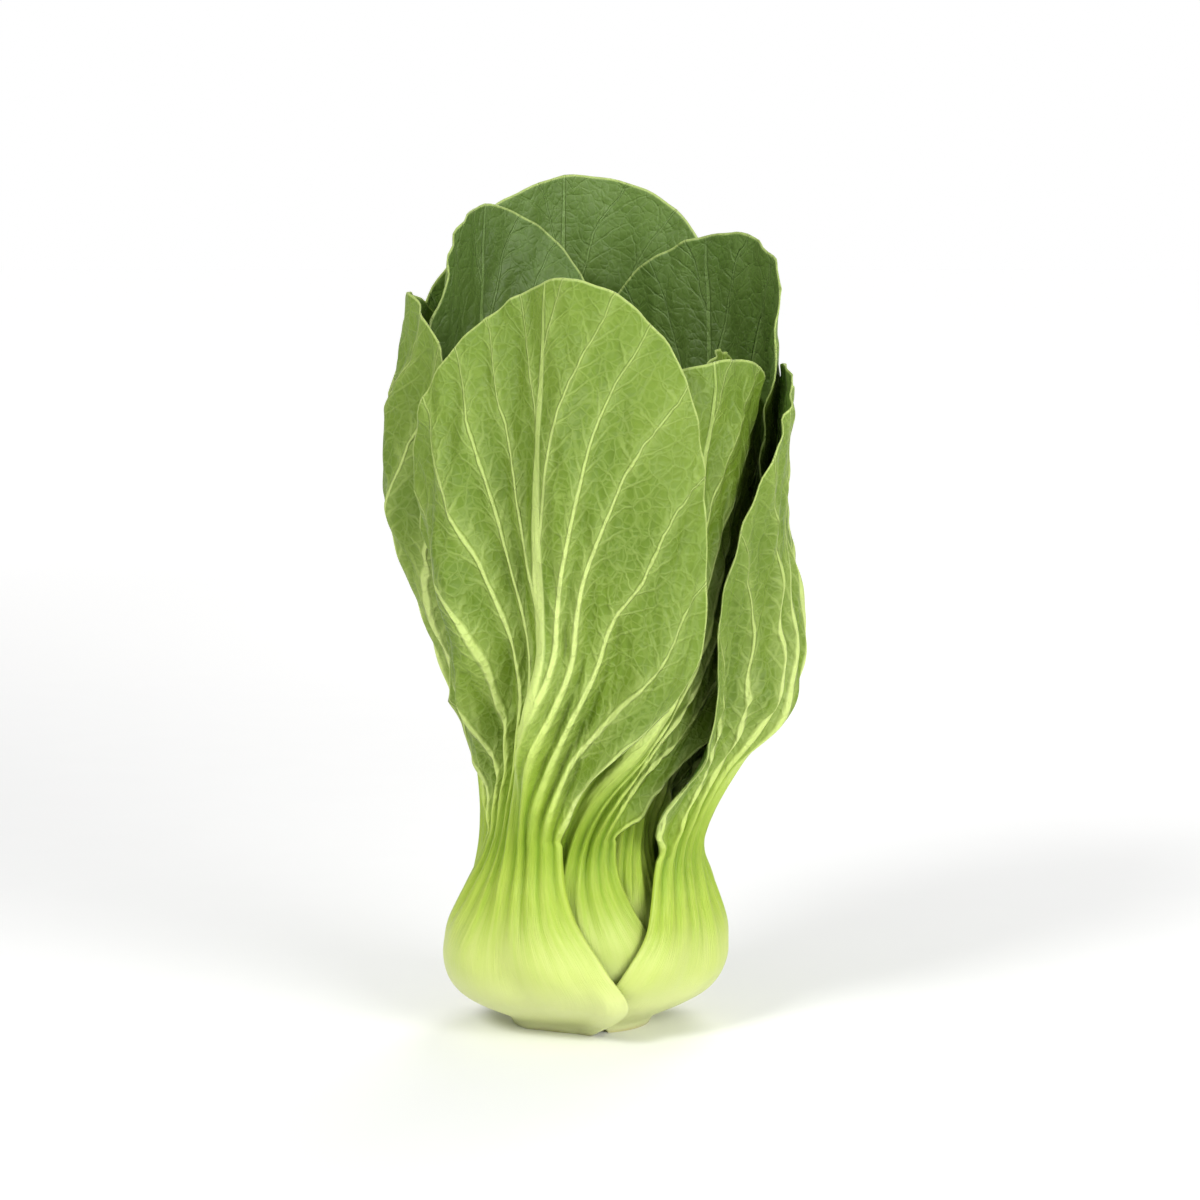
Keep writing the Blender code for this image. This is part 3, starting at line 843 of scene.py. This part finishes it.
leafFinish = {
    "outerLeaves": 4,          # that take the lightest finish
    "depths": {"outer": 0.0, "inner": 0.06, "heart": 0.03},     # how much darker each kind is
    # Colours from the foot to the neck, and then from the neck to the margin
    "stalk": [(0.0, (202, 207, 154)), (0.12, (208, 215, 148)), (0.4, (190, 203, 112)),
              (0.72, (168, 188, 72)), (1.0, (150, 175, 54))],
    "vein": [(0.0, (186, 206, 96)), (0.4, (190, 207, 122)), (0.75, (174, 193, 108)),
             (1.0, (158, 179, 94))],
    "back": [(0.0, (125, 152, 33)), (0.35, (102, 128, 27)), (0.7, (96, 121, 28)),
             (1.0, (105, 129, 38))],
    "face": [(0.0, (112, 138, 46)), (0.4, (90, 114, 40)), (0.8, (80, 103, 41)),
             (1.0, (88, 112, 48))],
    "faceVein": [(0.0, (150, 176, 88)), (0.6, (132, 158, 86)), (1.0, (114, 140, 76))],
    "margin": linear(186, 202, 122),
    "fleck": linear(112, 98, 44),
    "bruise": linear(176, 158, 96),
    # What each of these multiplies the colour under it by
    "mottleTint": (0.72, 0.8, 0.62),
    "billowTint": (1.2, 1.15, 1.15),
    "streakTint": (0.8, 0.9, 0.5),
    # the groove tint greens the tissue between the stalk's ribs and also darkens it there as painted shade
    "grooveGreenAndShadeTint": (0.62, 0.78, 0.36),
    "cell": 2.2,               # of the fine net, in mm
    "fleckScale": 95.0,        # places for a fleck in a metre, of which few have one
    # How far the small veins show in the colour, and how high each part stands
    "smallVeins": {"Branch": 0.16, "Net": 0.1, "Second": 0.26},
    "relief": {"main": 0.75, "Second": 0.24, "Branch": 0.1, "Net": 0.07, "Billow": -0.26, "Swell": -0.1},
    "grain": 0.06,
    "reliefHeight": 0.00055,   # in metres, of a height of 1
    "roughStalk": 0.33,
    "roughBlade": 0.46,
    "shader": {"IOR": 1.42, "Specular IOR Level": 0.4, "Subsurface Weight": 0.15,
               "Subsurface Radius": (0.8, 1.0, 0.5), "Subsurface Scale": 0.0014},
}


def makeLeafMaterial(name, depth):
    # Colour by where on the leaf a point is, darker for an inner leaf by depth
    material, tree, shader = newMaterial(name)

    def value(key):
        return put(tree, "Attribute", {"attribute_name": key}).outputs["Fac"]

    keys = ("across", "rise", "along", "span", "side", "edge", "lines", "veinScale")
    across, rise, along, span, side, edge, lines, scale = [value(key) for key in keys]
    place = put(tree, "TexCoord").outputs["Object"]
    skin = useGroup(tree, skinGroup, Place=place, Cell=leafFinish["cell"])
    wander = calc(tree, "SUBTRACT", skin["Mottle"], 0.5)
    veins = useGroup(tree, veinGroup, Lines=lines, Across=across, Span=span, Rise=rise, Along=along,
                     Wander=wander, **{"Vein Scale": scale})
    fibres = useGroup(tree, fibreGroup, Across=across, Along=along)
    blade, beside = veins["Blade"], veins["Beside"]
    parts = {"Second": veins["Second"], "Branch": skin["Branch"], "Net": skin["Net"],
             "Billow": skin["Billow"], "Swell": skin["Swell"]}

    # The blade's green begins between the ribs near the neck, and earlier towards the leaf's edges
    early = scaled(tree, calc(tree, "POWER", calc(tree, "ABSOLUTE", across), 2.0), 0.12, rise)
    early = scaled(tree, wander, 0.16, early)
    early = scaled(tree, beside, -0.06, early)
    green = fade(tree, early, 0.9, 1.22)
    main = calc(tree, "MAXIMUM", veins["Cord"], veins["Midrib"])
    small = 0.0
    for key, share in leafFinish["smallVeins"].items():
        small = calc(tree, "MAXIMUM", times(tree, parts[key], share), small)
    small = times(tree, small, fade(tree, blade, 0.02, 0.2))
    rib = calc(tree, "MAXIMUM", times(tree, main, fade(tree, blade, 0.3, 1.0, 1.0, 0.7)), small)

    def sideColour(lamina, veinStops, strength):
        # Mottled and billowed lamina, paler beside the veins and on them
        patch = times(tree, fade(tree, skin["Mottle"], 0.32, 0.66), 0.5)
        plain = tinted(tree, patch, ramp(tree, blade, lamina), leafFinish["mottleTint"])
        plain = tinted(tree, times(tree, skin["Billow"], 0.12), plain, leafFinish["billowTint"])
        pale = ramp(tree, blade, veinStops)
        plain = blend(tree, times(tree, beside, 0.2), plain, pale)
        return blend(tree, times(tree, rib, strength), plain, pale)

    back = sideColour(leafFinish["back"], leafFinish["vein"], 1.0)
    face = sideColour(leafFinish["face"], leafFinish["faceVein"], 0.85)
    bladeColour = blend(tree, fade(tree, side, 0.4, 0.75), back, face)
    stalk = ramp(tree, rise, leafFinish["stalk"])
    streaks = times(tree, fade(tree, fibres["Streak"], 0.4, 0.66), fade(tree, rise, 0.2, 0.75))
    stalk = tinted(tree, times(tree, streaks, 0.7), stalk, leafFinish["streakTint"])
    # Between the ribs high on the stalk the colour goes greener and darker: partly the tissue's own green,
    # partly painted shade in the grooves
    groove = times(tree, calc(tree, "PINGPONG", lines, 0.5), 2.0)
    groove = times(tree, fade(tree, groove, 0.35, 1.0), fade(tree, rise, 0.45, 1.0))
    stalk = tinted(tree, times(tree, groove, 0.6), stalk, leafFinish["grooveGreenAndShadeTint"])
    colour = blend(tree, green, stalk, bladeColour)
    margin = times(tree, fade(tree, edge, 0.15, 0.6, 1.0, 0.0), fade(tree, rise, 1.0, 1.25))
    colour = blend(tree, times(tree, margin, 0.55), colour, leafFinish["margin"])

    # A few small brown flecks low on the stalks, where they rub, and a bruised foot
    flecks = put(tree, "TexVoronoi", {"feature": "F1"}, Vector=place, Scale=leafFinish["fleckScale"])
    spot = fade(tree, flecks.outputs["Distance"], 0.03, 0.085, 1.0, 0.0)
    rare = put(tree, "SeparateColor", Color=flecks.outputs["Color"]).outputs[0]
    spot = times(tree, spot, fade(tree, rare, 0.93, 0.96))
    spot = times(tree, spot, fade(tree, rise, 0.35, 0.75, 1.0, 0.0))
    colour = blend(tree, times(tree, spot, 0.75), colour, leafFinish["fleck"])
    bruise = times(tree, fade(tree, along, 0.0, 2.6, 1.0, 0.0), fade(tree, skin["Mottle"], 0.42, 0.6))
    colour = blend(tree, times(tree, bruise, 0.5), colour, leafFinish["bruise"])
    shade = 1 - depth
    colour = blend(tree, 1.0, colour, (shade, 1 - 0.7 * depth, shade, 1.0), "MULTIPLY")
    tree.links.new(colour, shader.inputs["Base Color"])

    rough = scaled(tree, green, leafFinish["roughBlade"] - leafFinish["roughStalk"], leafFinish["roughStalk"])
    rough = scaled(tree, calc(tree, "SUBTRACT", skin["Grain"], 0.5), 0.16, rough)
    rough = scaled(tree, skin["Mottle"], 0.08, rough)
    tree.links.new(rough, shader.inputs["Roughness"])

    # Relief finer than the mesh: veins raised on the leaf's back and sunk in its face, billows between
    # them, and long fibres on the stalk
    relief = times(tree, main, leafFinish["relief"]["main"])
    for key, part in parts.items():
        relief = scaled(tree, part, leafFinish["relief"][key], relief)
    relief = times(tree, relief, times(tree, green, fade(tree, side, 0.4, 0.6, 1.0, -1.0)))
    stalkRelief = times(tree, fibres["Fibre"], fade(tree, rise, 0.1, 0.9, 0.16, 0.5))
    stalkRelief = times(tree, stalkRelief, fade(tree, green, 0.0, 1.0, 1.0, 0.15))
    relief = calc(tree, "ADD", relief, stalkRelief)
    relief = scaled(tree, skin["Grain"], leafFinish["grain"], relief)
    bump = put(tree, "Bump", Height=relief, Strength=1.0, Distance=leafFinish["reliefHeight"])
    tree.links.new(bump.outputs[0], shader.inputs["Normal"])
    for key, amount in leafFinish["shader"].items():
        shader.inputs[key].default_value = amount
    return material


stemFinish = {
    "flesh": linear(222, 226, 178),
    "rind": linear(196, 208, 138),
    "vessels": linear(188, 186, 130),
    # Rings of the cut face, from the axis to the edge
    "cut": [(0.0, (206, 212, 160)), (0.45, (226, 229, 190)), (0.62, (190, 194, 128)),
            (0.7, (228, 230, 192)), (0.92, (214, 210, 158)), (1.0, (176, 160, 104))],
    "cutRadius": 0.0132,       # in metres
    "cell": 0.9,               # of the vessels' net, in mm
    "shader": {"Subsurface Weight": 0.2, "Subsurface Radius": (1.0, 1.0, 0.4), "Subsurface Scale": 0.002},
}


def makeStemMaterial():
    # Rings by the distance from the axis on the cut face, and pale rind above it
    material, tree, shader = newMaterial("cutStem")
    place = put(tree, "TexCoord").outputs["Object"]
    parts = put(tree, "SeparateXYZ", Vector=place)
    flat = put(tree, "CombineXYZ", X=parts.outputs["X"], Y=parts.outputs["Y"], Z=0.0)
    skin = useGroup(tree, skinGroup, Place=place, Cell=stemFinish["cell"])
    out = put(tree, "VectorMath", {"operation": "LENGTH"}, s0=flat.outputs[0]).outputs["Value"]
    ring = scaled(tree, out, 1 / stemFinish["cutRadius"], times(tree, skin["Mottle"], 0.1))
    ring = calc(tree, "SUBTRACT", ring, 0.05, clamp=True)
    cut = ramp(tree, ring, stemFinish["cut"])
    cut = blend(tree, times(tree, skin["Net"], 0.3), cut, stemFinish["vessels"])
    onFace = fade(tree, parts.outputs["Z"], 0.0002, 0.0007, 1.0, 0.0)
    rind = blend(tree, skin["Mottle"], stemFinish["rind"], stemFinish["flesh"])
    tree.links.new(blend(tree, onFace, rind, cut), shader.inputs["Base Color"])
    rough = scaled(tree, skin["Grain"], 0.25, 0.4)
    tree.links.new(rough, shader.inputs["Roughness"])
    relief = scaled(tree, skin["Grain"], 0.4, times(tree, skin["Swell"], 0.6))
    bump = put(tree, "Bump", Height=relief, Strength=0.8, Distance=0.0002)
    tree.links.new(bump.outputs[0], shader.inputs["Normal"])
    for key, amount in stemFinish["shader"].items():
        shader.inputs[key].default_value = amount
    return material


# The pieces

def standIn(piece, node):
    # The piece rides the one body in place of the solid's node
    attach(piece, "root")
    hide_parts(node)


def buildStem():
    # The grid's rings joined round, with a point on the axis closing each end
    angle, height, radius = stemGrid()
    points = pointsAt(angle, height, radius).reshape(-1, 3)
    columns = stemShape["columns"]
    top, bottom = len(points), len(points) + 1
    points = np.vstack([points, [0, 0, stemShape["profile"][0][1] * mm], [0, 0, 0]])
    body = gridFaces(len(angle) - 1, columns, 0, flip=True, closed=True)
    last = (len(angle) - 1) * columns
    caps = [(here, (here + 1) % columns, top) for here in range(columns)]
    caps += [(bottom, last + (here + 1) % columns, last + here) for here in range(columns)]
    mesh = bpy.data.meshes.new("stem_fine")
    mesh.from_pydata(points.tolist(), [], body.tolist() + caps)
    mesh.shade_smooth()
    mesh.materials.append(makeStemMaterial())
    standIn(addObject("stem_fine", mesh), "stem")
    print("built the stem")


def buildLeaves():
    # From the heart outwards, each leaf outside the front of the ones before it
    materials = {kind: makeLeafMaterial(kind + "Leaf", depth) for kind, depth in leafFinish["depths"].items()}
    heights = np.arange(clearing["rows"])[:, None] * clearing["cell"]
    onStem = heights <= stemShape["profile"][0][1] * mm
    front = np.where(onStem, stemRadius(heights), 0) + np.zeros(clearing["turns"])
    fineFront = front
    for rank in reversed(range(len(leafTable))):
        leaf = leafSizes(rank)
        lift, front = coarseLeaf(leaf, front)
        kind = "outer" if rank < leafFinish["outerLeaves"] else "inner"
        kind = "heart" if rank >= facets["largeLeaves"] else kind
        piece, fineFront = fineLeaf(leaf, lift, fineFront, materials[kind])
        standIn(piece, leaf["name"])
        print("built", piece.name, "with", len(piece.data.polygons), "faces")


buildStem()
buildLeaves()


# Studio and camera

studio = {
    "floorSize": 60.0,
    "floor": (0.9, 0.9, 0.895, 1.0),
    "floorGrain": (0.8865, 0.8865, 0.881575, 1.0),
    "backdrop": (1.0, 1.0, 1.0, 1.0),
    "ambient": 0.5,
    "glow": 0.55,              # the floor's own light away from the object, so that it stays as pale there
    "glowRange": (0.3, 1.7),   # in metres from the object
    # place, size and power of each soft light
    "lights": {
        "key": ((-0.6, -0.75, 0.8), 0.4, 8.0),
        "fill": ((0.65, -0.8, 0.4), 0.7, 9.0),
        "back": ((0.3, 0.8, 0.75), 0.6, 4.0),
    },
    "lightsAim": (0, 0, 0.09),
}

cameraSettings = {
    "azimuth": 0.0,
    "elevation": 6.0,
    "distance": 0.78,
    "lens": 100.0,
    "aim": (0.003, 0.0, 0.1),
}


def buildFloor():
    # A wide pale floor that glows a little further off
    half = studio["floorSize"] / 2
    corners = [(-half, -half, 0), (half, -half, 0), (half, half, 0), (-half, half, 0)]
    mesh = bpy.data.meshes.new("floor")
    mesh.from_pydata(corners, [], [(0, 1, 2, 3)])
    material, tree, shader = newMaterial("paleFloor")
    here = put(tree, "TexCoord").outputs["Object"]
    tone = blend(tree, noise(tree, here, 40.0, 3.0), studio["floor"], studio["floorGrain"])
    tree.links.new(tone, shader.inputs["Base Color"])
    away = put(tree, "VectorMath", {"operation": "LENGTH"}, s0=here).outputs["Value"]
    lit = blend(tree, fade(tree, away, *studio["glowRange"]), (0.0, 0.0, 0.0, 1.0), studio["backdrop"])
    tree.links.new(lit, shader.inputs["Emission Color"])
    shader.inputs["Emission Strength"].default_value = studio["glow"]
    shader.inputs["Roughness"].default_value = 0.75
    mesh.materials.append(material)
    addObject("floor", mesh)


def buildWorld():
    # The camera sees the backdrop in full, and the object is lit by less of it
    world = bpy.data.worlds.new("studio")
    world.use_nodes = True
    tree = world.node_tree
    ambient = tree.nodes["Background"]
    ambient.inputs["Color"].default_value = studio["backdrop"]
    ambient.inputs["Strength"].default_value = studio["ambient"]
    seen = put(tree, "Background", Color=studio["backdrop"], Strength=1.0)
    both = put(tree, "MixShader", s0=put(tree, "LightPath").outputs["Is Camera Ray"])
    tree.links.new(ambient.outputs[0], both.inputs[1])
    tree.links.new(seen.outputs[0], both.inputs[2])
    tree.links.new(both.outputs[0], tree.nodes["World Output"].inputs["Surface"])
    bpy.context.scene.world = world


def buildLights():
    # Round soft lamps, each turned to the middle of the head
    for name, (spot, size, power) in studio["lights"].items():
        light = bpy.data.lights.new(name, "AREA")
        light.shape, light.size, light.energy = "DISK", size, power
        lamp = addObject(name, light)
        lamp.location = spot
        x, y, z = np.array(studio["lightsAim"]) - np.array(spot)
        lamp.rotation_euler = (math.atan2(math.hypot(x, y), -z), 0, math.atan2(-x, y))


def buildCamera():
    # At its distance from the aim, by azimuth from the front and elevation
    azimuth, elevation = math.radians(cameraSettings["azimuth"]), math.radians(cameraSettings["elevation"])
    flat = math.cos(elevation)
    away = np.array([math.sin(azimuth) * flat, -math.cos(azimuth) * flat, math.sin(elevation)])
    camera = addObject("camera", bpy.data.cameras.new("camera"))
    camera.data.lens = cameraSettings["lens"]
    camera.location = np.array(cameraSettings["aim"]) + away * cameraSettings["distance"]
    camera.rotation_euler = (math.pi / 2 - elevation, 0, azimuth)
    bpy.context.scene.camera = camera


buildFloor()
buildWorld()
buildLights()
buildCamera()
bpy.context.scene.view_settings.view_transform = "Standard"
print("studio and camera set")
